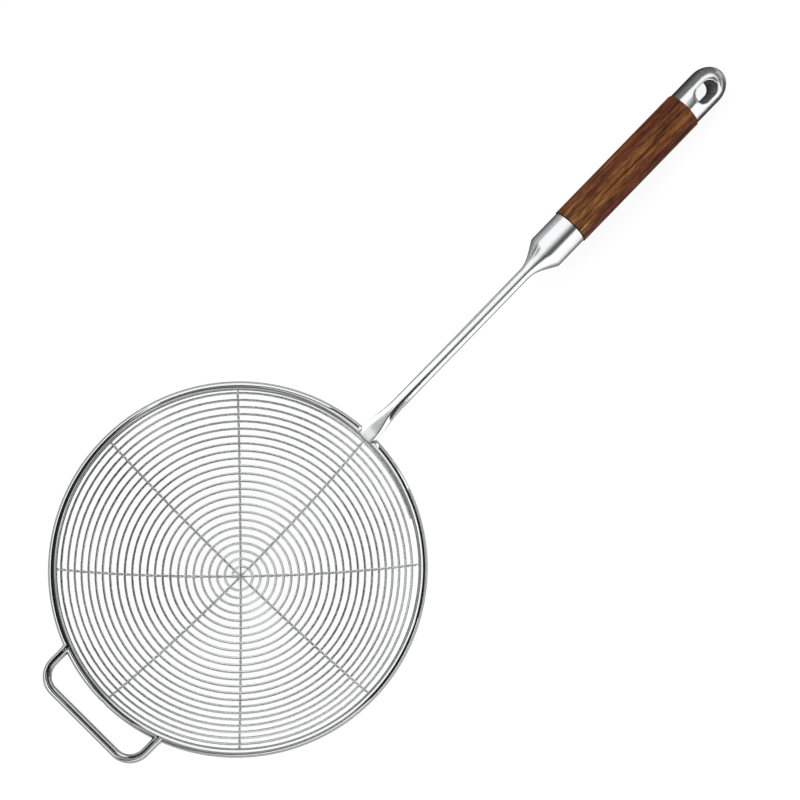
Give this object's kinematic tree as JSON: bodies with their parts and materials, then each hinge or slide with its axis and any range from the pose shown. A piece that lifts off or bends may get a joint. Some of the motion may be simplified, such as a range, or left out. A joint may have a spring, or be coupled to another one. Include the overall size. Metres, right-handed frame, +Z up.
{
  "type": "mesh skimmer",
  "caption": "Round shallow dish of spiral wire bound by twisted wires in a rod rim, with a helper loop, a steel shaft, a wooden grip and a hanging cap, for lifting food out of hot liquid.",
  "frame": {"origin": "middle of the bounding box on the table the skimmer lies on", "axes": "+X along the handle, from the dish towards the hanging cap; +Z up out of the open side of the dish; +Y across the dish"},
  "size_m": [0.5856, 0.2404, 0.0745],
  "materials": {
    "polished_steel": "mirror polished stainless steel",
    "mesh_wire": "bright drawn stainless wire",
    "plain_steel": "plain turned steel, hidden inside the handle",
    "grip_wood": "dark red-brown hardwood, satin lacquer"
  },
  "bodies": {
    "root": {"rim_ring": "polished_steel", "spiral_wire": "mesh_wire", "binding_wire_1a": "mesh_wire", "binding_wire_1b": "mesh_wire", "binding_wire_2a": "mesh_wire", "binding_wire_2b": "mesh_wire", "binding_wire_3a": "mesh_wire", "binding_wire_3b": "mesh_wire", "binding_wire_4a": "mesh_wire", "binding_wire_4b": "mesh_wire", "helper_loop": "polished_steel", "shaft": "polished_steel", "ferrule": "polished_steel", "ferrule_plug": "plain_steel", "tie_rod": "plain_steel", "grip": "grip_wood", "end_cap": "polished_steel"}
  },
  "joints": []
}
